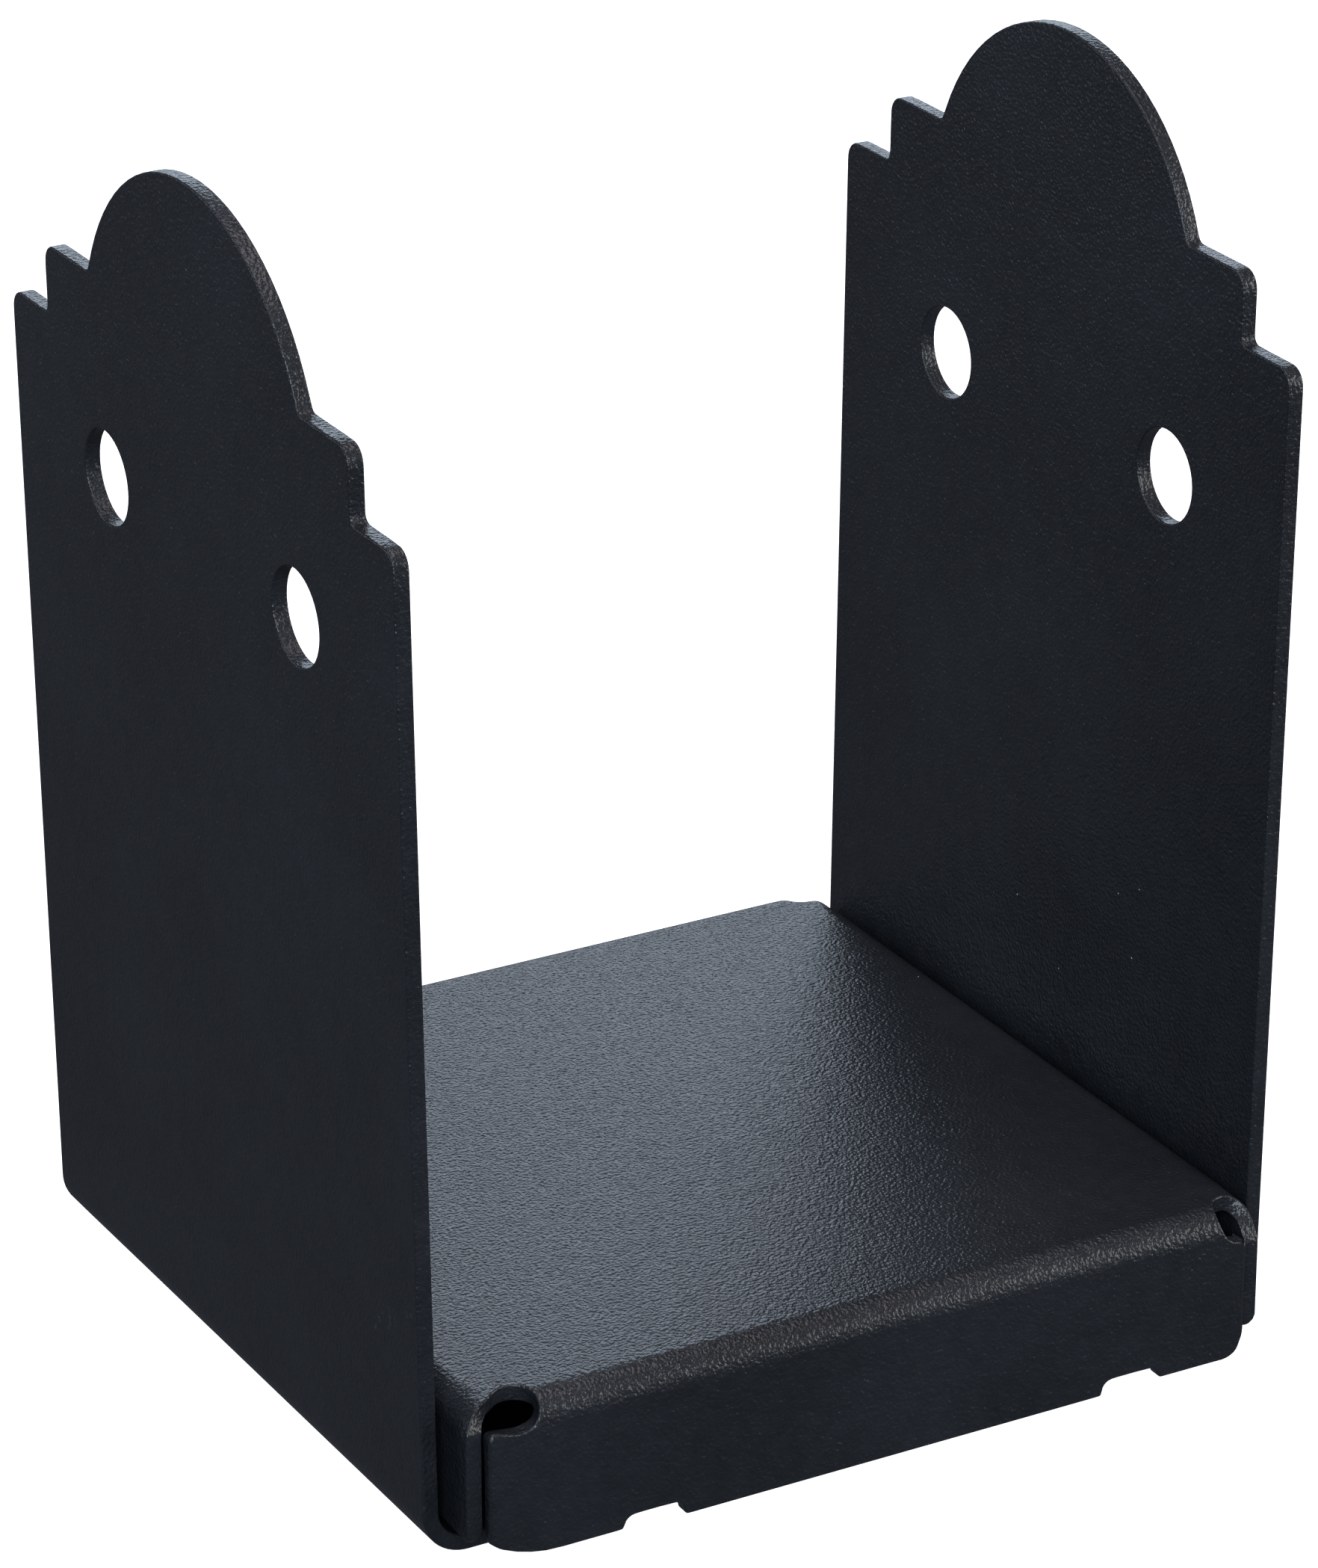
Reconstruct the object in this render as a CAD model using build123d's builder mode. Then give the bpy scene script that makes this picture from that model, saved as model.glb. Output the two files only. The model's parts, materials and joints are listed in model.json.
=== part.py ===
"""Post base for a square timber post: a U-shaped saddle with ornamental ears and a loose stand-off pan.

Frame: X runs across the gap from ear to ear, Y runs front (-) to back (+), Z is up.
The origin is the centre of the anchor hole, on the underside of the saddle's web.
All sizes are in millimetres.
"""
from build123d import *
from math import cos, radians, sqrt, tan
import os

# Sheet metal
sheet = 2.6                 # coated steel sheet, about 12 gauge

# Saddle
post_gap = 141.2            # clear width between the ears, level with the web's underside
ear_width = 127.0           # front to back, 5 in
ear_splay = 0.8             # degrees that each ear springs outward
saddle_bend = 7.4           # outer radius of the bend between web and ear

lower_step = 159.2          # height of the outer shoulders
upper_step = 170.4          # height of the inner shoulders
lower_tread = 13.0          # width of an outer shoulder
upper_tread = 15.5          # width of an inner shoulder
dome_drop = 13.4            # from the inner shoulders down to the dome's centre
shoulder_radius = 3.0       # rounded outer corners of the shoulders
notch_radius = 1.2          # small inside corners of the crown

bolt_hole = 15.0            # diameter
bolt_spacing = 63.5         # between the two holes of an ear, 2.5 in
bolt_height = 138.7         # holes of the left ear
bolt_stagger = 6.35         # the right ear's holes sit lower by this much
anchor_hole = 17.5          # diameter, passes a 5/8 in anchor bolt

# Stand-off pan
pan_height = 26.2
pan_bend = 4.5              # outer radius of the pan's bends
side_clearance = 1.35       # between the centred pan and each ear, level with the web's underside
pan_sideways = 0.4          # the loose pan rests this much nearer the right ear
end_clearance = 2.3         # between the saddle's front or rear edge and a skirt, with the pan centred
rear_play = 0.25            # what is left of it at the rear, where the loose pan rests
flange_clearance = 0.2      # between a side flange's round lower edge and the saddle's inner bend
flange_recess = 1.6         # the ends of a side flange stop this short of the skirts' faces
slit = 0.45                 # between a side flange and the edge of a skirt
skirt_corner = 4.5          # rounded lower corner, at a skirt's right end
sweep_radius = 18.6         # long round sweep of the lower corner at its left end
sweep_run = 11.3            # length of the sweep along the skirt
skirt_end_rise = 0.4        # outside the drain notches a skirt stops this far above the ground
drain_width = 10.4          # drain notches in the skirts' lower edges
drain_height = 2.5
drain_radius = 1.9          # rounded upper corners of the drain notches
drain_left = 38.7           # notch centre, left of the skirt's middle
drain_right = 45.2          # notch centre, right of the skirt's middle
relief_radius = 5.35        # round corner reliefs, where two bends meet
relief_inset_left = 6.4     # relief centre, inward from the pan's left side
relief_inset_right = 2.3    # the same from its right side
relief_depth = 0.9          # relief centre, inward from the pan's front or rear
relief_drop = 0.15          # the relief's floor, below the level where the bends end
relief_round = 3.0          # rounding between the relief's floor and its wall

riser_width = ear_width - 2 * lower_tread
dome_centre = upper_step - dome_drop
dome_radius = sqrt((riser_width / 2 - upper_tread) ** 2 + dome_drop**2)
half_gap = post_gap / 2
splay = tan(radians(ear_splay))
ear_height = dome_centre + dome_radius
bolt_heights = {-1: bolt_height, 1: bolt_height - bolt_stagger}
pan_width = post_gap - 2 * side_clearance
pan_depth = ear_width + 2 * (end_clearance + sheet)
pan_forward = end_clearance - rear_play

os.makedirs("parts", exist_ok=True)


def strap_outline(half_width, floor, corner):
    """Half-open trapezoid with leaning sides; its two floor corners are rounded."""
    top = ear_height + sheet
    with BuildSketch(Plane.XZ) as outline:
        with BuildLine():
            Polyline(
                (-half_width - splay * floor, floor),
                (half_width + splay * floor, floor),
                (half_width + splay * top, top),
                (-half_width - splay * top, top),
                close=True,
            )
        make_face()
        fillet(outline.vertices().group_by(Axis.Y)[0], corner)
    return outline.sketch


# ---------------------------------------------------------------- saddle
# The strap is the space between an outer and an inner trapezoid, drawn across the gap.
with BuildPart() as saddle:
    extrude(
        strap_outline(half_gap + sheet / cos(radians(ear_splay)), 0, saddle_bend),
        amount=ear_width / 2,
        both=True,
    )
    extrude(
        strap_outline(half_gap, sheet, saddle_bend - sheet),
        amount=ear_width,
        both=True,
        mode=Mode.SUBTRACT,
    )

    # Crown of both ears, seen along X: two shoulders and a round dome.
    with BuildSketch(Plane.YZ) as crown:
        Rectangle(ear_width, lower_step, align=(Align.CENTER, Align.MIN))
        Rectangle(riser_width, upper_step, align=(Align.CENTER, Align.MIN))
        with Locations((0, dome_centre)):
            Circle(dome_radius)
        lower_row = crown.vertices().filter_by_position(Axis.Y, lower_step - 0.01, lower_step + 0.01)
        upper_row = crown.vertices().filter_by_position(Axis.Y, upper_step - 0.01, upper_step + 0.01)
        lower_row = lower_row.sort_by(Axis.X)
        upper_row = upper_row.sort_by(Axis.X)
        fillet([lower_row[0], lower_row[-1], upper_row[0], upper_row[-1]], shoulder_radius)
        fillet([*lower_row[1:-1], *upper_row[1:-1]], notch_radius)
    extrude(amount=post_gap, both=True, mode=Mode.INTERSECT)

    # Bolt holes, drilled along X through each ear on its own.
    for side, height in bolt_heights.items():
        with BuildSketch(Plane.YZ.offset(side * half_gap / 2)):
            with Locations((0, height)):
                with GridLocations(bolt_spacing, 1, 2, 1):
                    Circle(bolt_hole / 2)
        extrude(amount=side * half_gap, mode=Mode.SUBTRACT)

    # Anchor hole through the middle of the web.
    with BuildSketch(Plane.XY):
        Circle(anchor_hole / 2)
    extrude(amount=sheet, mode=Mode.SUBTRACT)
saddle.part.label = "saddle"

# ---------------------------------------------------------------- stand-off pan
pan_inner_bend = pan_bend - sheet
half_width = pan_width / 2
half_depth = pan_depth / 2
flat_half_width = half_width - pan_bend
flat_half_depth = half_depth - pan_bend
skirt_half_width = half_width - sheet - slit
bend_level = pan_height - pan_bend

# A flange's lower edge is a half round, which clears the round inside of the saddle's bend.
foot_radius = sheet / 2
foot_reach = half_width + pan_sideways - foot_radius - (half_gap - (saddle_bend - sheet))
foot_drop = sqrt((saddle_bend - sheet - foot_radius - flange_clearance) ** 2 - foot_reach**2)
flange_level = saddle_bend - foot_drop


def hook(reach, flat_reach, foot):
    """Section of one bent edge: a quarter ring, then a straight leg down to a half-round foot."""
    with BuildLine() as edge:
        Line((flat_reach, pan_height - sheet), (flat_reach, pan_height))
        RadiusArc((flat_reach, pan_height), (reach, bend_level), pan_bend)
        Line((reach, bend_level), (reach, foot))
        ThreePointArc((reach, foot), (reach - foot_radius, foot - foot_radius), (reach - sheet, foot))
        Line((reach - sheet, foot), (reach - sheet, bend_level))
        RadiusArc((reach - sheet, bend_level), (flat_reach, pan_height - sheet), -pan_inner_bend)
    return edge.line


with BuildPart() as standoff_pan:
    # Flat top, up to where the four bends begin.
    with BuildSketch(Plane.XY.offset(pan_height - sheet)):
        Rectangle(2 * flat_half_width, 2 * flat_half_depth)
    extrude(amount=sheet)

    # Front and rear bends.
    with BuildSketch(Plane.YZ):
        make_face(hook(half_depth, flat_half_depth, bend_level - sheet))
        mirror(about=Plane.YZ)
    extrude(amount=flat_half_width, both=True)

    # Side bends and flanges, almost over the pan's full depth.
    with BuildSketch(Plane.XZ):
        make_face(hook(half_width, flat_half_width, flange_level))
        mirror(about=Plane.YZ)
    extrude(amount=half_depth - flange_recess, both=True)

    # Front skirt: narrower than the flanges' inner faces, one lower corner swept in a long arc.
    front = Plane(origin=(0, 0, 0), x_dir=(1, 0, 0), z_dir=(0, -1, 0))
    with BuildSketch(front.offset(half_depth - sheet)):
        with BuildLine():
            sweep_end = (-skirt_half_width + sweep_run, skirt_end_rise)
            sweep_rise = sweep_radius - sqrt(sweep_radius**2 - sweep_run**2)
            sweep_start = (-skirt_half_width, skirt_end_rise + sweep_rise)
            corner_start = (skirt_half_width - skirt_corner, skirt_end_rise)
            corner_end = (skirt_half_width, skirt_end_rise + skirt_corner)
            RadiusArc(sweep_start, sweep_end, -sweep_radius)
            Polyline(sweep_end, (-drain_left, skirt_end_rise), (-drain_left, 0))
            Polyline((-drain_left, 0), (drain_right, 0), (drain_right, skirt_end_rise), corner_start)
            RadiusArc(corner_start, corner_end, -skirt_corner)
            Polyline(corner_end, (skirt_half_width, bend_level), (-skirt_half_width, bend_level))
            Line((-skirt_half_width, bend_level), sweep_start)
        make_face()
    extrude(amount=sheet)

    # Drain notches, square at the lower edge and rounded above.
    with BuildSketch(front.offset(half_depth - 2 * sheet)) as drains:
        with Locations((-drain_left, 0), (drain_right, 0)):
            Rectangle(drain_width, 2 * drain_height)
        fillet(drains.vertices().group_by(Axis.Y)[-1], drain_radius)
    extrude(amount=3 * sheet, mode=Mode.SUBTRACT)

    # The rear skirt mirrors the front one.
    mirror(about=Plane.XZ)

    # Corner reliefs: upright round pockets with a rounded floor, where two bends would meet.
    with BuildSketch(Plane.XZ, mode=Mode.PRIVATE) as relief_section:
        with Locations((0, bend_level - relief_drop)):
            Rectangle(relief_radius, 2 * pan_bend, align=(Align.MIN, Align.MIN))
        fillet(relief_section.vertices().group_by(Axis.Y)[0].sort_by(Axis.X)[-1], relief_round)
    relief = revolve(relief_section.sketch, axis=Axis.Z, mode=Mode.PRIVATE)
    for reach in (relief_inset_left - half_width, half_width - relief_inset_right):
        for depth in (relief_depth - half_depth, half_depth - relief_depth):
            with Locations((reach, depth, 0)):
                add(relief, mode=Mode.SUBTRACT)
standoff_pan.part.label = "standoff_pan"
resting_pan = Pos(pan_sideways, -pan_forward, 0) * standoff_pan.part
resting_pan.label = "standoff_pan"

export_step(saddle.part, "parts/saddle.step")
export_step(resting_pan, "parts/standoff_pan.step")
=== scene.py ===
"""Post base for a square timber post: the finished look of its saddle and its loose stand-off pan.

Each piece is laid out as a flat sheet-metal blank, folded up along its bends and given rounded, coated rims.
Lengths are in metres, X runs from ear to ear, Y from front to back and Z up.
"""
import json
from math import atan2, cos, degrees, hypot, pi, radians, sin, sqrt

import bpy
import numpy as np
from bpy.props import FloatProperty, FloatVectorProperty, PointerProperty
from mathutils import Matrix, Vector
from mathutils.geometry import delaunay_2d_cdt


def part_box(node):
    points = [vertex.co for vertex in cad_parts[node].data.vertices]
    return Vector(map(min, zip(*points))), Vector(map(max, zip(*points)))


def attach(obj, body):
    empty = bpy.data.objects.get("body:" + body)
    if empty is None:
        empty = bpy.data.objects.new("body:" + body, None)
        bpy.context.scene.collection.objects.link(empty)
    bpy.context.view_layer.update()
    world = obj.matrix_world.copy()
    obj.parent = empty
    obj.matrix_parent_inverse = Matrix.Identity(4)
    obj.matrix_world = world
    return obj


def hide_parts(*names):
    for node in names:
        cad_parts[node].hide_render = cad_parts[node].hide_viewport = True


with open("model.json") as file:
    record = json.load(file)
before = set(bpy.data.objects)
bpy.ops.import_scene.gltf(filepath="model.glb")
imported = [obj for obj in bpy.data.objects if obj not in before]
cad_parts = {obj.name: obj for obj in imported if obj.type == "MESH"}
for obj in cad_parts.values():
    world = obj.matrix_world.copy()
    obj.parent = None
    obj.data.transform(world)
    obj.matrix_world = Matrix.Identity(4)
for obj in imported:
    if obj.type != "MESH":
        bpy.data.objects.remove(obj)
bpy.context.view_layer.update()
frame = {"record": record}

bl_info = {
    "name": "Timber Post Base",
    "version": (1, 0, 0),
    "blender": (4, 5, 0),
    "location": "View3D > Sidebar > Post Base",
    "description": "Builds a powder-coated post base: a saddle with ornamental ears and a stand-off pan",
    "category": "Object",
}

MOUNTS = {mount["name"]: mount for mount in frame["record"]["mounts"]}
SADDLE_LOW, SADDLE_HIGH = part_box("saddle")
PAN_LOW, PAN_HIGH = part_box("standoff_pan")
MM = 0.001

SOFTENING = 0.25 * MM       # spacing of the points over which an outline's sharp corners are softened
OUTLINE_TURN = radians(7)   # most that an outline turns from one of its mesh points to the next
RIM_CLEARANCE = 1.1 * MM    # mesh points within an outline stay this far from its rims
SAME_PLACE = 1e-7           # mesh points closer than this are one point
PROBE = 1e-3 * MM           # short step along the sheet's thickness, for the direction that a surface faces


# ---------------------------------------------------------------- sizes and colours a user would change
def length(name, description, default):
    return FloatProperty(name=name, description=description, default=default, unit="LENGTH", precision=5)


def colour(name, description, default):
    return FloatVectorProperty(name=name, description=description, default=default, subtype="COLOR",
                               size=3, min=0, max=1)


def tilt(name, description, default):
    return FloatProperty(name=name, description=description, default=default, subtype="ANGLE")


def spot(name, description, default, subtype="XYZ"):
    return FloatVectorProperty(name=name, description=description, default=default, size=len(default),
                               subtype=subtype, unit="LENGTH", precision=5)


class SheetSizes(bpy.types.PropertyGroup):
    """The coated sheet that both pieces are folded from."""

    thickness: length("Thickness", "Thickness of the coated sheet",
                      MOUNTS["anchor_hole"]["dims"]["length_mm"] * MM)
    rim_radius: length("Rim radius", "Rounding of the coated rims", 0.30 * MM)
    coarse: length("Coarse spacing", "Distance between mesh points on flat stretches", 6 * MM)
    fine: length("Fine spacing", "Distance between outline points across a bend", 0.7 * MM)


class SaddleSizes(bpy.types.PropertyGroup):
    """The U-shaped saddle: a web and two ears with a stepped, domed crown."""

    ear_splay: tilt("Ear splay", "Angle that each ear springs outward", radians(0.8))
    bend: length("Bend", "Outer radius of the bend between web and ear", 7.4 * MM)
    lower_step: length("Lower step", "Height of the outer shoulders", 159.2 * MM)
    upper_step: length("Upper step", "Height of the inner shoulders", 170.4 * MM)
    lower_tread: length("Lower tread", "Width of an outer shoulder", 13 * MM)
    upper_tread: length("Upper tread", "Width of an inner shoulder", 15.5 * MM)
    dome_drop: length("Dome drop", "From the inner shoulders down to the dome's centre", 13.4 * MM)
    shoulder_radius: length("Shoulder radius", "Rounding of the shoulders' outer corners", 3 * MM)
    notch_radius: length("Notch radius", "Rounding of the crown's inside corners", 1.2 * MM)


class PanSizes(bpy.types.PropertyGroup):
    """The stand-off pan: a flat top, two skirts with drain notches and two side flanges."""

    bend: length("Bend", "Outer radius of the pan's bends", 4.5 * MM)
    lead: length("Lead", "Where the flat top begins to bow, before a bend", 5.5 * MM)
    bow: length("Bow", "How far the top sinks ahead of a bend", 0.32 * MM)
    slit: length("Slit", "Gap between a side flange and the edge of a skirt", 0.45 * MM)
    flange_recess: length("Flange recess", "How far a flange's ends stop short of the skirts", 1.6 * MM)
    flange_level: length("Flange level", "Height of the side flanges' lower edges", 4 * MM)
    flange_corner: length("Flange corner", "Rounding of a flange's lower corners", 1.6 * MM)
    skirt_corner: length("Skirt corner", "Rounded lower corner on the right of a skirt", 4.5 * MM)
    sweep_radius: length("Sweep radius", "Long round sweep of a skirt's other lower corner", 18.6 * MM)
    sweep_run: length("Sweep run", "Length of the sweep along the skirt", 11.3 * MM)
    end_rise: length("End rise", "Height of a skirt's edge outside the drain notches", 0.4 * MM)
    drain_width: length("Drain width", "Width of a drain notch", 10.4 * MM)
    drain_height: length("Drain height", "Height of a drain notch", 2.5 * MM)
    drain_radius: length("Drain radius", "Rounded upper corners of a drain notch", 1.9 * MM)
    drain_left: length("Left drain", "Notch centre, left of the skirt's middle", 38.7 * MM)
    drain_right: length("Right drain", "Notch centre, right of the skirt's middle", 45.2 * MM)
    skirt_rim: length("Skirt rim", "Softer rounding of a skirt's upright edges", 1.0 * MM)
    relief_radius: length("Relief radius", "Radius of the round end of a corner relief", 3.5 * MM)
    relief_left: spot("Left relief", "Centre of its round end, beyond the start of the side and front bends",
                      (-4.0 * MM, 1.7 * MM))
    relief_right: spot("Right relief", "The same for a relief on the right", (0.1 * MM, 2.35 * MM))
    relief_opening: tilt("Relief opening", "Slope of a relief's edge toward the side flange", radians(35))
    relief_closing: tilt("Relief closing", "Slope of a relief's edge toward the skirt's side", radians(16))


class CoatLook(bpy.types.PropertyGroup):
    """Fine-textured black powder coat."""

    dark: colour("Dark tone", "Darker of the coat's two tones", (0.0085, 0.0098, 0.0125))
    light: colour("Light tone", "Lighter of the coat's two tones", (0.0150, 0.0170, 0.0210))
    dust: colour("Dust", "Colour of the dust specks", (0.62, 0.64, 0.66))
    rub: colour("Rubbed coat", "Colour of rubbed patches and scuffs", (0.060, 0.064, 0.070))
    roughness: FloatProperty(name="Roughness", description="Roughness of the coat between its grains",
                             default=0.26, min=0, max=1)
    cloud: length("Cloud", "Size of the broad patches of the two tones", 38 * MM)
    mottle: length("Mottle", "Size of the small patches of the two tones", 3.2 * MM)
    wear: length("Wear", "Size of the spots that are rubbed first", 1.1 * MM)
    grain: length("Grain", "Size of the coat's fine grain", 0.58 * MM)
    peel: length("Peel", "Size of the broader orange peel", 2.2 * MM)
    grain_height: length("Grain height", "Height of the fine grain", 0.22 * MM)
    peel_height: length("Peel height", "Height of the orange peel", 0.04 * MM)
    dust_height: length("Dust height", "Height of the dust specks", 0.05 * MM)


class StageLook(bpy.types.PropertyGroup):
    """Floor, lights and camera."""

    floor: colour("Floor", "Colour of the plain floor", (0.93, 0.93, 0.93))
    air: colour("Room", "Colour of the light that fills the room", (0.78, 0.84, 1.0))
    air_strength: FloatProperty(name="Room light", description="Strength of the light that fills the room",
                                default=0.102, min=0)
    camera_place: spot("Camera place", "Where the camera stands", (-449.4 * MM, -804.7 * MM, 488.0 * MM),
                       "TRANSLATION")
    camera_turn: tilt("Camera turn", "Heading of the camera, right of straight ahead", radians(29.287))
    camera_dip: tilt("Camera dip", "Angle that the camera looks down", radians(23.640))
    camera_roll: tilt("Camera roll", "Turn of the camera about its line of sight", radians(0.049))
    lens: FloatProperty(name="Lens", description="Focal length of the camera, in millimetres",
                        default=149.68, min=1)


# ---------------------------------------------------------------- outlines of a flat blank
def arc(centre, radius, start, end, steps=12):
    """Points on an arc from start to end, in degrees."""
    turns = np.radians(np.linspace(start, end, steps + 1))
    return [(centre[0] + radius * cos(t), centre[1] + radius * sin(t)) for t in turns]


def rounded(corners):
    """An open path through corners (u, v, radius), each corner with a radius rounded by a tangent arc."""
    path = []
    for index, (u, v, radius) in enumerate(corners):
        if not radius:
            path.append((u, v))
            continue
        corner = Vector((u, v))
        back = (Vector(corners[index - 1][:2]) - corner).normalized()
        ahead = (Vector(corners[index + 1][:2]) - corner).normalized()
        half = back.angle(ahead) / 2
        centre = corner + (back + ahead).normalized() * radius / sin(half)
        start = corner + back * radius / sin(half) * cos(half)
        end = corner + ahead * radius / sin(half) * cos(half)
        first = degrees(atan2(*(start - centre).yx))
        sweep = (degrees(atan2(*(end - centre).yx)) - first + 180) % 360 - 180
        path += arc(centre, radius, first, first + sweep, 8)
    return path


def half_turned(path):
    """The path turned by 180 degrees about the origin."""
    return [(-u, -v) for u, v in path]


def circle(centre, radius):
    """A round hole, taken clockwise so that the sheet lies on its left."""
    return arc(centre, radius, 360, 0, 72)[:-1]


def traced(path, spacing_at):
    """Points on the closed path, as close as its shape asks for, and the outward direction at each.

    Its sharpest corners come out a little softened.
    """
    loop = np.array(path + path[:1])
    steps = np.hypot(*np.diff(loop, axis=0).T)
    distance = np.concatenate([[0], np.cumsum(steps)])
    marks = np.linspace(0, distance[-1], int(distance[-1] / SOFTENING), endpoint=False)
    even = np.column_stack([np.interp(marks, distance, loop[:, k]) for k in (0, 1)])
    for _ in range(2):
        even = (np.roll(even, 2, 0) + 2 * np.roll(even, 1, 0) + 3 * even
                + 2 * np.roll(even, -1, 0) + np.roll(even, -2, 0)) / 9
    tangent = np.roll(even, -1, 0) - np.roll(even, 1, 0)
    heading = np.unwrap(np.arctan2(tangent[:, 1], tangent[:, 0]))
    limit = spacing_at(even[:, 0], even[:, 1])
    kept = [0]
    for index in range(1, len(even)):
        far = (index - kept[-1]) * SOFTENING >= limit[index]
        turned = abs(heading[index] - heading[kept[-1]]) > OUTLINE_TURN
        if far or turned:
            kept.append(index)
    outward = np.column_stack([tangent[:, 1], -tangent[:, 0]])
    outward /= np.linalg.norm(outward, axis=1)[:, None]
    return even[kept], outward[kept]


def inside(points, loops):
    """Which of the points lie on the sheet: inside the outline and outside every hole."""
    odd = np.zeros(len(points), bool)
    for loop in loops:
        for (u0, v0), (u1, v1) in zip(loop, np.roll(loop, -1, 0)):
            if v0 != v1:
                between = (points[:, 1] > min(v0, v1)) & (points[:, 1] <= max(v0, v1))
                odd ^= between & (points[:, 0] < u0 + (points[:, 1] - v0) * (u1 - u0) / (v1 - v0))
    return odd


# ---------------------------------------------------------------- from blank to folded piece
def folded_sheet(name, loops, rows, columns, fold, thickness, rim_at, spacing_at):
    """A mesh of the blank inside the first loop and outside the others, folded and rounded at its rims.

    rows and columns are the u and v of the mesh points within the outline. fold(u, v, w) gives the folded
    place of a point that stands w above the middle of the sheet. rim_at(u, v) is the rims' radius, and
    spacing_at(u, v) the largest distance between two points of an outline.
    """
    outlines = [traced(loop, spacing_at) for loop in loops]
    radii = [rim_at(points[:, 0], points[:, 1]) for points, _ in outlines]
    inset = [points - outward * radius[:, None] for (points, outward), radius in zip(outlines, radii)]
    grid = np.array([(u, v) for u in rows for v in columns])
    grid = grid[inside(grid, inset)]
    rim_points = np.concatenate(inset)
    clear = np.array([np.hypot(*(rim_points - point).T).min() for point in grid]) > RIM_CLEARANCE
    flat = np.concatenate([rim_points, grid[clear]])
    starts = np.cumsum([0] + [len(points) for points in inset])
    links = [(a + i, a + (i + 1) % (b - a)) for a, b in zip(starts, starts[1:]) for i in range(b - a)]
    flat = [Vector(point) for point in flat]
    corners, _, triangles, origins, _, _ = delaunay_2d_cdt(flat, links, [], 0, SAME_PLACE)
    place = {origin: index for index, sources in enumerate(origins) for origin in sources}
    corners = np.array([tuple(c) for c in corners])
    triangles = np.array([tuple(t) for t in triangles])
    triangles = triangles[inside(corners[triangles].mean(1), inset)]

    # Both faces of the sheet, then the rings of mesh points that round each rim from face to face.
    half = thickness / 2
    turns = np.radians(np.linspace(0, 90, 6))
    blocks = [np.column_stack([corners, np.full(len(corners), side * half)]) for side in (1, -1)]
    leans = [np.zeros((len(corners), 3)) + (0, 0, 1), np.zeros((len(corners), 3)) + (0, 0, -1)]
    rims = [np.zeros(len(corners)), np.zeros(len(corners))]
    faces = [tuple(t) for t in triangles] + [tuple(t[::-1] + len(corners)) for t in triangles]
    base = 2 * len(corners)
    for (points, outward), radius, start in zip(outlines, radii, starts):
        count = len(points)
        rings = [[place[start + i] for i in range(count)]]
        for side, angles in ((1, turns[1:]), (-1, turns[::-1][:-1])):
            for angle in angles:
                at = points - outward * (radius * (1 - sin(angle)))[:, None]
                depth = side * (half - radius * (1 - cos(angle)))
                blocks.append(np.column_stack([at, depth]))
                leans.append(np.column_stack([outward * sin(angle), np.full(count, side * cos(angle))]))
                rims.append(np.full(count, sin(angle)))
                rings.append([base + i for i in range(count)])
                base += count
        rings.append([len(corners) + place[start + i] for i in range(count)])
        for upper, lower in zip(rings, rings[1:]):
            pairs = [(i, (i + 1) % count) for i in range(count)]
            faces += [(upper[i], lower[i], lower[after], upper[after]) for i, after in pairs]

    u, v, w = np.concatenate(blocks).T
    lean_u, lean_v, lean_w = (PROBE * np.concatenate(leans)).T
    places = fold(u, v, w)
    normals = fold(u + lean_u, v + lean_v, w + lean_w) - places
    normals /= np.linalg.norm(normals, axis=1)[:, None]
    mesh = bpy.data.meshes.new(name)
    mesh.from_pydata([tuple(p) for p in places], [], faces)
    rim = mesh.attributes.new("rim", "FLOAT", "POINT")
    rim.data.foreach_set("value", np.concatenate(rims).astype(np.float32))
    mesh.validate()
    mesh.shade_smooth()
    mesh.normals_split_custom_set_from_vertices([tuple(n) for n in normals])
    piece = bpy.data.objects.new(name, mesh)
    bpy.context.collection.objects.link(piece)
    return piece


def steps(start, end, spacing):
    """Evenly spaced places from start to end, at most spacing apart."""
    return list(np.linspace(start, end, max(2, int((end - start) / spacing) + 2)))


def mesh_lines(flat, bend_end, edge, coarse, fine):
    """Places of mesh lines on both sides of the middle: coarse on flat stretches, fine across the bends."""
    half = steps(0, flat, coarse) + steps(flat, bend_end, fine)[1:] + steps(bend_end, edge, coarse)[1:]
    return sorted({-at for at in half} | set(half))


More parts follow.
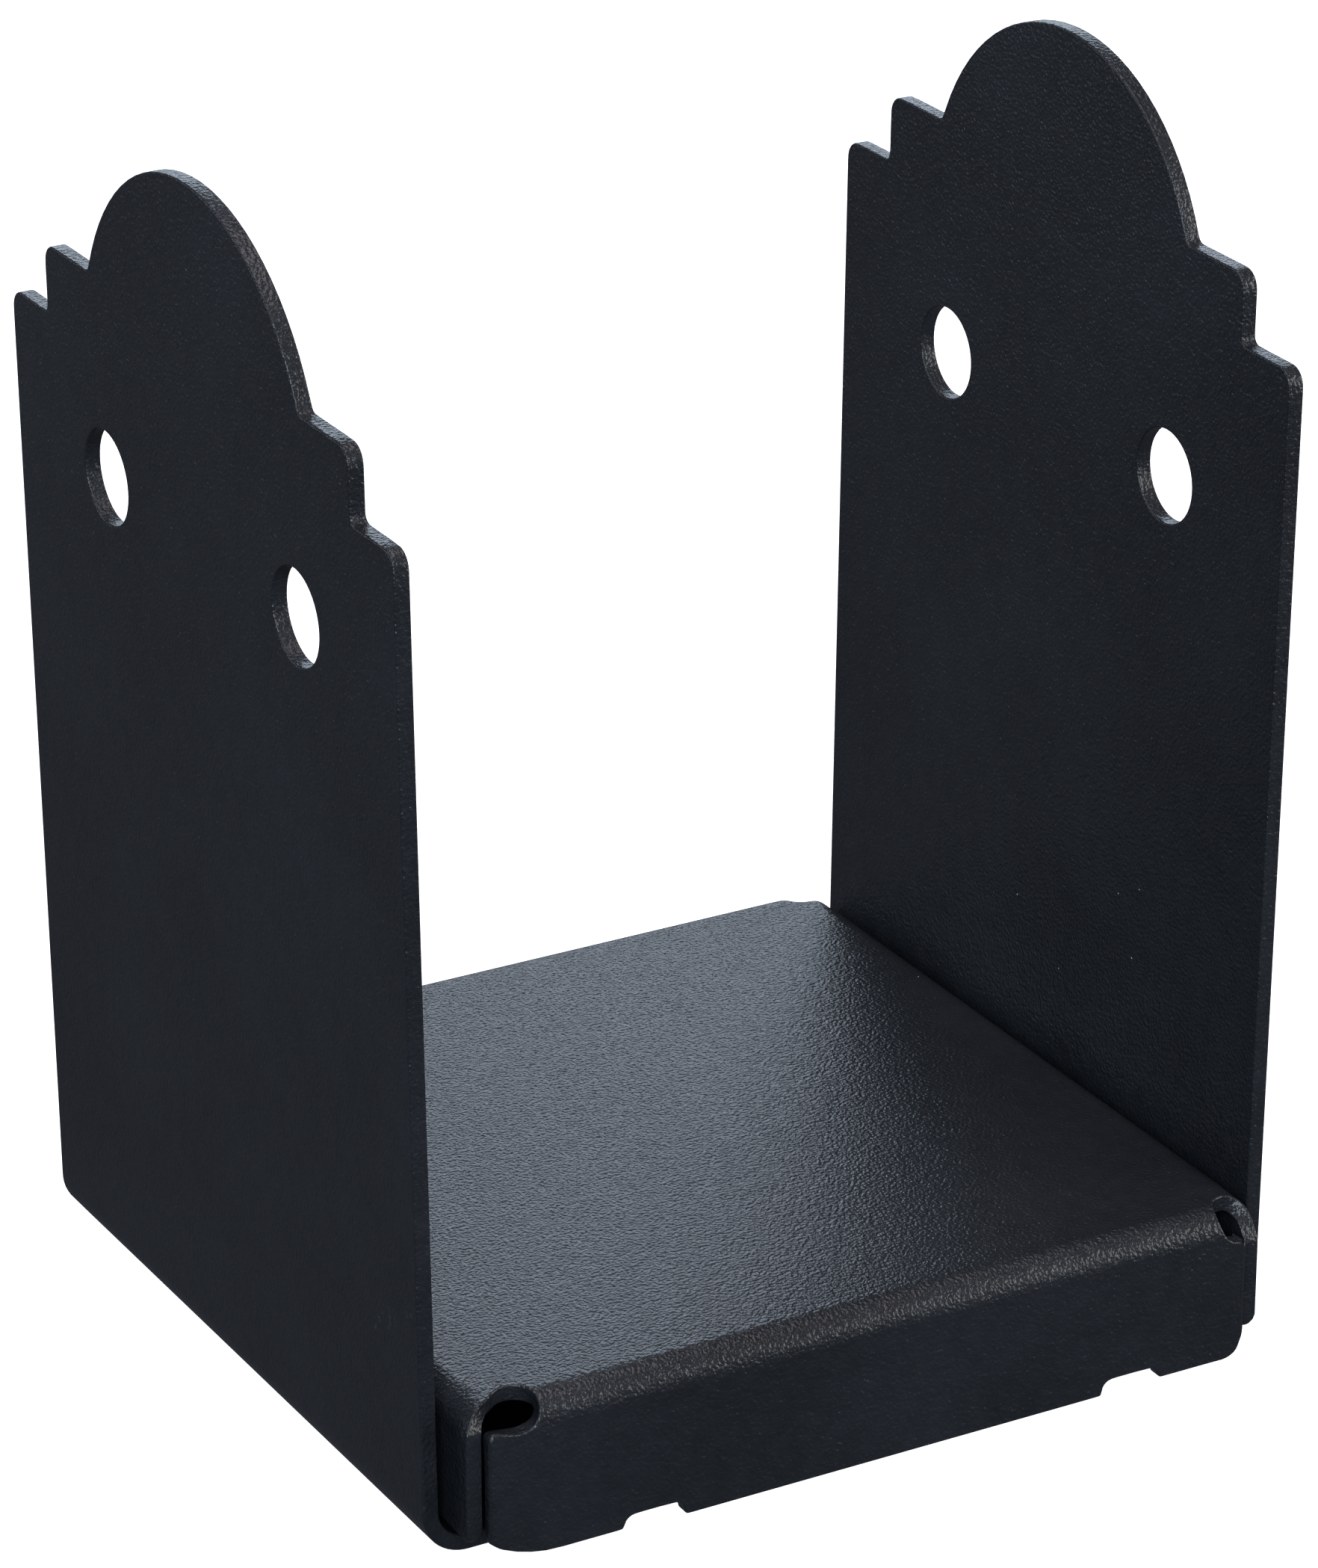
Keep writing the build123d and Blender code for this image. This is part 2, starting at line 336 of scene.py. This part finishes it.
# ---------------------------------------------------------------- saddle
def build_saddle(sheet, sizes):
    thickness = sheet.thickness
    middle = sizes.bend - thickness / 2
    turn = radians(90) - sizes.ear_splay
    half_width = (SADDLE_HIGH.y - SADDLE_LOW.y) / 2
    bolts = MOUNTS["right_bolts"]["pos_m"]
    outer_gap = bolts[0] + thickness / 2 - bolts[2] * sin(sizes.ear_splay)
    flat = outer_gap - sizes.bend * sin(turn / 2) / cos(turn / 2)
    bent = flat + middle * turn

    def blank(height):
        """Distance along the blank to this height on an ear."""
        return bent + (height - sizes.bend + middle * cos(turn)) / sin(turn)

    def fold(u, v, w):
        side, reach = np.sign(u), np.abs(u)
        angle = np.clip((reach - flat) / middle, 0, turn)
        up = np.clip(reach - bent, 0, None)
        ring = middle - w
        x = np.minimum(reach, flat) + ring * np.sin(angle) + up * cos(turn)
        z = sizes.bend - ring * np.cos(angle) + up * sin(turn)
        return np.column_stack([side * x, v, z])

    def spacing_at(u, v):
        in_bend = (np.abs(u) > flat - MM) & (np.abs(u) < bent + MM)
        return np.where(in_bend, sheet.fine, 4 * sheet.fine)

    # Crown: outer shoulder, inner shoulder, a small inside corner and the dome, from the front to the middle.
    lower, upper = blank(sizes.lower_step), blank(sizes.upper_step)
    centre = blank(sizes.upper_step - sizes.dome_drop)
    riser = half_width - sizes.lower_tread
    dome = hypot(riser - sizes.upper_tread, sizes.dome_drop)
    notch = upper + sizes.notch_radius
    notch_side = sqrt((dome + sizes.notch_radius) ** 2 - (notch - centre) ** 2)
    meeting = degrees(atan2(notch_side, centre - notch))
    front = rounded([
        (0, -half_width, 0),
        (lower, -half_width, sizes.shoulder_radius),
        (lower, -riser, sizes.notch_radius),
        (upper, -riser, sizes.shoulder_radius),
        (upper, -notch_side, 0),
    ])[:-1]
    front += arc((notch, -notch_side), sizes.notch_radius, 180, meeting, 8)[:-1]
    half_dome = arc((centre, 0), dome, meeting - 180, 0, 60)
    ear = front + half_dome + [(u, -v) for u, v in reversed(front + half_dome[:-1])]
    outline = ear[:-1] + half_turned(ear[:-1])

    holes = [circle((0, 0), MOUNTS["anchor_hole"]["dims"]["r_mm"] * MM)]
    for mount, side in (("left_bolts", -1), ("right_bolts", 1)):
        dims, height = MOUNTS[mount]["dims"], MOUNTS[mount]["pos_m"][2]
        for across in (-dims["spacing_x_mm"] / 2 * MM, dims["spacing_x_mm"] / 2 * MM):
            holes.append(circle((side * blank(height), across), dims["hole_r_mm"] * MM))

    rows = mesh_lines(flat, bent, blank(SADDLE_HIGH.z), sheet.coarse, 1.2 * sheet.fine)
    columns = steps(-half_width, half_width, sheet.coarse)
    return folded_sheet("coated_saddle", [outline, *holes], rows, columns, fold, thickness,
                        lambda u, v: np.full(len(u), sheet.rim_radius), spacing_at)


# ---------------------------------------------------------------- stand-off pan
def build_pan(sheet, sizes):
    thickness = sheet.thickness
    middle = sizes.bend - thickness / 2
    across = middle * pi / 2
    centre = (PAN_LOW + PAN_HIGH) / 2
    half_width, half_depth = (PAN_HIGH.x - PAN_LOW.x) / 2, (PAN_HIGH.y - PAN_LOW.y) / 2
    side_flat, end_flat = half_width - sizes.bend, half_depth - sizes.bend
    level = PAN_HIGH.z - sizes.bend
    skirt_half = half_width - thickness - sizes.slit
    flange_end = half_depth - sizes.flange_recess
    flange_foot = side_flat + across + level - sizes.bow - sizes.flange_level
    hem = end_flat + across + level - sizes.bow
    foot_radius = 0.47 * thickness  # nearly a half round
    mouth_radius, heel_radius = 2 * MM, 0.8 * MM  # where a relief runs out into a flange and a skirt

    def sunk(reach):
        """The top bows down softly ahead of a bend."""
        part = np.clip((reach + sizes.lead) / (sizes.lead + sizes.bend / 2), 0, 1)
        return sizes.bow * part**2 * (3 - 2 * part)

    def fold(u, v, w):
        on_skirt = (np.abs(v) > end_flat) & (np.abs(u) < skirt_half + 0.3 * sizes.slit)
        on_skirt &= np.abs(v) - end_flat > np.abs(u) - side_flat + sizes.slit
        on_flange = ~on_skirt & (np.abs(u) > side_flat)
        reach = np.where(on_skirt, np.abs(v) - end_flat, np.where(on_flange, np.abs(u) - side_flat, 0))
        angle = np.clip(reach / middle, 0, pi / 2)
        down = np.clip(reach - across, 0, None)
        ring = middle + w
        out = ring * np.sin(angle)
        z = np.where(reach > 0, level + ring * np.cos(angle) - down, PAN_HIGH.z - thickness / 2 + w)
        x = np.where(on_flange, np.sign(u) * (side_flat + out), u)
        y = np.where(on_skirt, np.sign(v) * (end_flat + out), v)
        z = z - sunk(np.abs(u) - side_flat) - sunk(np.abs(v) - end_flat)
        return np.column_stack([x + centre.x, y + centre.y, z])

    def spacing_at(u, v):
        near_bend = (np.abs(np.abs(u) - side_flat - across / 2) < across / 2 + MM)
        near_bend |= (np.abs(np.abs(v) - end_flat - across / 2) < across / 2 + MM)
        return np.where(near_bend, sheet.fine, 4 * sheet.fine)

    def rim_at(u, v):
        """Rims are rounded evenly, but rounder at a flange's lower edge and softer at a skirt's sides.

        Each of these two comes in over a short stretch, and is full before its edge.
        """
        near_foot = np.clip((np.abs(u) - flange_foot) / foot_radius + 1.6, 0, 1)
        near_side = np.clip((np.abs(v) - end_flat - across) / across + 0.4, 0, 1)
        near_side *= np.clip((np.abs(u) - skirt_half) / sizes.skirt_rim + 1.5, 0, 1)
        near_side *= np.abs(u) < skirt_half + sizes.slit
        radius = sheet.rim_radius + (foot_radius - sheet.rim_radius) * near_foot
        return radius + (sizes.skirt_rim - sheet.rim_radius) * near_side

    def relief(beyond, side):
        """From a flange's end, round the relief and to the skirt's side; laid out for the left one."""
        centre = Vector((-side_flat - beyond[0], -end_flat - beyond[1]))
        opening, closing = sizes.relief_opening, sizes.relief_closing
        bow = arc(centre, sizes.relief_radius, 90 + degrees(opening), -90 - degrees(closing), 40)
        start = bow[0][0] - (bow[0][1] + flange_end) * cos(opening) / sin(opening)
        end = bow[-1][1] + (bow[-1][0] + skirt_half) * sin(closing) / cos(closing)
        mouth, heel = (start, -flange_end, mouth_radius), (-skirt_half, end, heel_radius)
        edge = rounded([(-flange_foot, -flange_end, 0), mouth, (*bow[0], 0)])[1:-1] + bow
        edge += rounded([(*bow[-1], 0), heel, (-skirt_half, -hem, 0)])[1:-1]
        return edge if side < 0 else [(-u, v) for u, v in reversed(edge)]

    def drain(at, before, after):
        """Corners of a drain notch centred on u = at, between lower edges at v = before and v = after."""
        left, right = at - sizes.drain_width / 2, at + sizes.drain_width / 2
        top = -hem + sizes.drain_height
        upper_left, upper_right = (left, top, sizes.drain_radius), (right, top, sizes.drain_radius)
        return [(left, before, 0), upper_left, upper_right, (right, after, 0)]

    # Front half of the blank: the left flange, its relief, the skirt, the right relief and the right flange.
    # The rear half mirrors it.
    left_corner = (-flange_foot, -flange_end, sizes.flange_corner)
    right_corner = (flange_foot, -flange_end, sizes.flange_corner)
    bottom = -hem + sizes.end_rise
    sweep_turn = degrees(np.arcsin(sizes.sweep_run / sizes.sweep_radius))
    sweep_end = -skirt_half + sizes.sweep_run
    path = rounded([(-flange_foot, 0, 0), left_corner, (0, -flange_end, 0)])[:-1]
    path += relief(sizes.relief_left, -1)
    path += arc((sweep_end, bottom + sizes.sweep_radius), sizes.sweep_radius, -90 - sweep_turn, -90, 16)
    path += rounded([
        (sweep_end, bottom, 0),
        *drain(-sizes.drain_left, bottom, -hem),
        *drain(sizes.drain_right, -hem, bottom),
        (skirt_half, bottom, sizes.skirt_corner),
        (skirt_half, -hem + level, 0),
    ])[1:-1]
    path += relief(sizes.relief_right, 1)
    path += rounded([(0, -flange_end, 0), right_corner, (flange_foot, 0, 0)])[1:-1]
    outline = path + [(u, -v) for u, v in reversed(path)]

    rows = mesh_lines(side_flat, side_flat + across, flange_foot, sheet.coarse, 1.1 * sheet.fine)
    columns = mesh_lines(end_flat, end_flat + across, hem, sheet.coarse, 1.1 * sheet.fine)
    return folded_sheet("coated_standoff_pan", [outline], rows, columns, fold, thickness, rim_at, spacing_at)


# ---------------------------------------------------------------- shader nodes
class Link:
    """A node's output, on which Python's operators add Math nodes."""

    def __init__(self, maker, socket):
        self.maker, self.socket = maker, socket

    def _math(self, operation, first, second):
        return self.maker.node("ShaderNodeMath", {"operation": operation}, {0: first, 1: second})

    def __add__(self, other):
        return self._math("ADD", self, other)

    def __radd__(self, other):
        return self._math("ADD", other, self)

    def __sub__(self, other):
        return self._math("SUBTRACT", self, other)

    def __rsub__(self, other):
        return self._math("SUBTRACT", other, self)

    def __mul__(self, other):
        return self._math("MULTIPLY", self, other)

    def __rmul__(self, other):
        return self._math("MULTIPLY", other, self)

    def above(self, edge, width):
        """0 below edge, 1 above edge + width, and a smooth rise between."""
        return self.maker.node("ShaderNodeMapRange", {"interpolation_type": "SMOOTHSTEP"},
                               {"Value": self, "From Min": edge, "From Max": edge + width})

    def below(self, edge, width):
        return 1 - self.above(edge, width)


class Maker:
    """Adds nodes to a new material's tree."""

    def __init__(self, name):
        self.material = bpy.data.materials.new(name)
        self.material.use_nodes = True
        self.tree = self.material.node_tree
        self.shader = self.tree.nodes["Principled BSDF"]

    def node(self, kind, settings=None, inputs=None, output=0):
        made = self.tree.nodes.new(kind)
        for key, value in (settings or {}).items():
            setattr(made, key, value)
        for key, value in (inputs or {}).items():
            self.put(made.inputs[key], value)
        return Link(self, made.outputs[output])

    def put(self, socket, value):
        if isinstance(value, Link):
            self.tree.links.new(value.socket, socket)
        else:
            socket.default_value = value

    def mix(self, factor, first, second):
        """From the first colour at factor 0 to the second at 1."""
        colours = [value if isinstance(value, Link) else (*value, 1) for value in (first, second)]
        return self.node("ShaderNodeMix", {"data_type": "RGBA"}, {0: factor, 6: colours[0], 7: colours[1]}, 2)

    def noise(self, place, size, detail, roughness):
        """Noise whose blotches are about size across."""
        inputs = {"Vector": place, "Scale": 1 / size, "Detail": detail, "Roughness": roughness}
        return self.node("ShaderNodeTexNoise", {}, inputs)

    def specks(self, place, spacing, radius, share):
        """Round specks of that radius, in a share of cells that are spacing across."""
        settings = {"feature": "F1"}
        inputs = {"Vector": place, "Scale": 1 / spacing}
        distance = self.node("ShaderNodeTexVoronoi", settings, inputs, "Distance")
        cell = self.node("ShaderNodeTexVoronoi", settings, inputs, "Color")
        pick = self.node("ShaderNodeSeparateColor", {}, {"Color": cell}, "Red")
        size = self.node("ShaderNodeSeparateColor", {}, {"Color": cell}, "Green")
        reach = distance * spacing - radius * size
        return reach.below(0, 0.3 * radius) * pick.above(1 - share, 0.001)


def powder_coat(name, look, scuffs):
    """Black powder coat: fine grain over a soft orange peel, two tones, dust, rubbed rims and scuffs.

    scuffs are (place, half size, angle) of the rubbed patches, each an oval in the frame.
    """
    make = Maker(name)
    place = make.node("ShaderNodeTexCoord", {}, {}, "Object")
    rim = make.node("ShaderNodeAttribute", {"attribute_name": "rim"}, {}, "Fac")

    cloud = make.noise(place, look.cloud, 4, 0.55)
    mottle = make.noise(place, look.mottle, 3, 0.6)
    grain = make.noise(place, look.grain, 1, 0.5)
    peel = make.noise(place, look.peel, 1.5, 0.5)
    tone = cloud.above(0.34, 0.34) * 0.6 + mottle.above(0.3, 0.4) * 0.4
    coat = make.mix(tone, look.dark, look.light)

    # Rims and scuffs are rubbed: the grain's tops have gone pale.
    wear = make.noise(place, look.wear, 3, 0.65)
    rubbed = rim.above(0.25, 0.5) * wear.above(0.5, 0.3) * 0.12
    for at, size, turn in scuffs:
        local = make.node("ShaderNodeMapping", {"vector_type": "TEXTURE"},
                          {"Vector": place, "Location": at, "Rotation": (turn, 0, 0), "Scale": size})
        distance = make.node("ShaderNodeVectorMath", {"operation": "LENGTH"}, {0: local}, "Value")
        rubbed = rubbed + distance.below(0.35, 0.65) * wear.above(0.55, 0.1) * 0.8
    coat = make.mix(rubbed, coat, look.rub)

    dust = make.specks(place, spacing=5.5 * MM, radius=0.16 * MM, share=0.10)
    dust = dust + make.specks(place, spacing=21 * MM, radius=0.34 * MM, share=0.16)
    coat = make.mix(dust, coat, look.dust)
    make.put(make.shader.inputs["Base Color"], coat)

    roughness = look.roughness + mottle * 0.06 + grain * 0.06 + dust * 0.4
    make.put(make.shader.inputs["Roughness"], roughness)

    height = grain * look.grain_height + peel * look.peel_height + dust * look.dust_height
    bump = make.node("ShaderNodeBump", {}, {"Strength": 1.0, "Distance": 1.0, "Height": height})
    make.put(make.shader.inputs["Normal"], bump)
    return make.material


# ---------------------------------------------------------------- stage
def soft_box(name, aim, place, size, watts, tint):
    """A rectangular lamp at place that points at aim."""
    lamp = bpy.data.lights.new(name, "AREA")
    lamp.shape, lamp.size, lamp.size_y = "RECTANGLE", *size
    lamp.energy, lamp.color = watts, tint
    made = bpy.data.objects.new(name, lamp)
    made.location = place
    made.rotation_euler = (Vector(aim) - Vector(place)).to_track_quat("-Z", "Y").to_euler()
    made.visible_camera = False
    bpy.context.collection.objects.link(made)


def build_floor(look):
    """A plain pale floor just under the object. It glows for the camera alone and lights nothing."""
    reach, gap = 6.0, 0.2 * MM
    corners = [(-reach, -reach, 0), (reach, -reach, 0), (reach, reach, 0), (-reach, reach, 0)]
    mesh = bpy.data.meshes.new("floor")
    mesh.from_pydata(corners, [], [(0, 1, 2, 3)])
    floor = bpy.data.objects.new("floor", mesh)
    floor.location.z = -gap
    bpy.context.collection.objects.link(floor)
    make = Maker("pale_floor")
    make.put(make.shader.inputs["Base Color"], (*look.floor, 1))
    make.shader.inputs["Roughness"].default_value = 1.0
    make.shader.inputs["Specular IOR Level"].default_value = 0.0
    make.shader.inputs["Emission Color"].default_value = (1, 1, 1, 1)
    make.shader.inputs["Emission Strength"].default_value = 1.0
    mesh.materials.append(make.material)
    floor.visible_glossy = False
    floor.visible_diffuse = False


def build_lights(look):
    """The light that fills the room and five soft lamps round the object."""
    world = bpy.context.scene.world or bpy.data.worlds.new("room")
    bpy.context.scene.world = world
    world.use_nodes = True
    room = world.node_tree.nodes["Background"]
    room.inputs["Color"].default_value = (*look.air, 1)
    room.inputs["Strength"].default_value = look.air_strength

    aim = (0, 0, 60 * MM)
    soft_box("back_lamp", aim, place=(0.61, 1.06, 0.45), size=(0.95, 0.42), watts=4.0, tint=(0.73, 0.85, 1))
    soft_box("top_lamp", aim, place=(0, 0, 1.5), size=(1.0, 1.0), watts=8.6, tint=(1, 0.92, 0.94))
    soft_box("left_lamp", aim, place=(-1.2, 0.9, 0.5), size=(0.8, 0.8), watts=4.2, tint=(0.78, 0.86, 1))
    soft_box("front_lamp", aim, place=(-0.9, -1.5, 0.9), size=(1.2, 1.2), watts=34, tint=(0.80, 0.90, 1))
    soft_box("right_lamp", aim, place=(1.3, -0.8, 0.5), size=(0.9, 0.9), watts=11.4, tint=(1, 0.97, 0.95))


def build_camera(look):
    """The camera, looking down at the object over its front left corner."""
    lens = bpy.data.cameras.new("camera")
    lens.lens, lens.sensor_width = look.lens, 36
    lens.clip_start, lens.clip_end = 0.05, 50
    camera = bpy.data.objects.new("camera", lens)
    heading = Matrix.Rotation(-look.camera_turn, 4, "Z")
    dip = Matrix.Rotation(radians(90) - look.camera_dip, 4, "X")
    roll = Matrix.Rotation(-look.camera_roll, 4, "Z")
    camera.matrix_world = Matrix.Translation(look.camera_place) @ (heading @ dip) @ roll
    bpy.context.collection.objects.link(camera)
    bpy.context.scene.camera = camera
    bpy.context.scene.view_settings.view_transform = "Standard"


# ---------------------------------------------------------------- add-on
def coated(piece, body, node, scuffs=()):
    """Coats the piece and lets it stand for its CAD node."""
    piece.data.materials.append(powder_coat(f"{node}_coat", bpy.context.scene.post_base_coat, scuffs))
    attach(piece, body)
    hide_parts(node)


class POSTBASE_OT_saddle(bpy.types.Operator):
    """Fold the saddle from its blank and coat it"""

    bl_idname = "post_base.saddle"
    bl_label = "Saddle"

    def execute(self, context):
        saddle = build_saddle(context.scene.post_base_sheet, context.scene.post_base_saddle)
        outer_face = SADDLE_LOW.x
        coated(saddle, "saddle", "saddle", [
            ((outer_face, -52 * MM, 35 * MM), (6 * MM, 7 * MM, 3 * MM), radians(-30)),
            ((outer_face, -61 * MM, 41 * MM), (6 * MM, 2.5 * MM, 4 * MM), radians(20)),
        ])
        return {"FINISHED"}


class POSTBASE_OT_standoff_pan(bpy.types.Operator):
    """Fold the stand-off pan from its blank and coat it"""

    bl_idname = "post_base.standoff_pan"
    bl_label = "Stand-off pan"

    def execute(self, context):
        pan = build_pan(context.scene.post_base_sheet, context.scene.post_base_pan)
        coated(pan, "pan", "standoff_pan")
        return {"FINISHED"}


class POSTBASE_OT_stage(bpy.types.Operator):
    """Lay the floor, hang the lamps and place the camera"""

    bl_idname = "post_base.stage"
    bl_label = "Stage"

    def execute(self, context):
        look = context.scene.post_base_stage
        build_floor(look)
        build_lights(look)
        build_camera(look)
        return {"FINISHED"}


class POSTBASE_PT_sidebar(bpy.types.Panel):
    """Sizes, colours and the steps that build the post base"""

    bl_idname = "POSTBASE_PT_sidebar"
    bl_label = "Post Base"
    bl_space_type = "VIEW_3D"
    bl_region_type = "UI"
    bl_category = "Post Base"

    def draw(self, context):
        for operator in OPERATORS:
            self.layout.operator(operator.bl_idname)
        for name, group in GROUPS.items():
            box = self.layout.box()
            box.label(text=group.__name__)
            for key in group.__annotations__:
                box.prop(getattr(context.scene, name), key)


GROUPS = {
    "post_base_sheet": SheetSizes,
    "post_base_saddle": SaddleSizes,
    "post_base_pan": PanSizes,
    "post_base_coat": CoatLook,
    "post_base_stage": StageLook,
}
OPERATORS = (POSTBASE_OT_saddle, POSTBASE_OT_standoff_pan, POSTBASE_OT_stage)


def register():
    for kind in (*GROUPS.values(), *OPERATORS, POSTBASE_PT_sidebar):
        bpy.utils.register_class(kind)
    for name, group in GROUPS.items():
        setattr(bpy.types.Scene, name, PointerProperty(type=group))


def unregister():
    for name in GROUPS:
        delattr(bpy.types.Scene, name)
    for kind in reversed((*GROUPS.values(), *OPERATORS, POSTBASE_PT_sidebar)):
        bpy.utils.unregister_class(kind)


def main():
    register()
    bpy.ops.post_base.stage()
    bpy.ops.post_base.saddle()
    bpy.ops.post_base.standoff_pan()


if __name__ == "__main__":
    main()
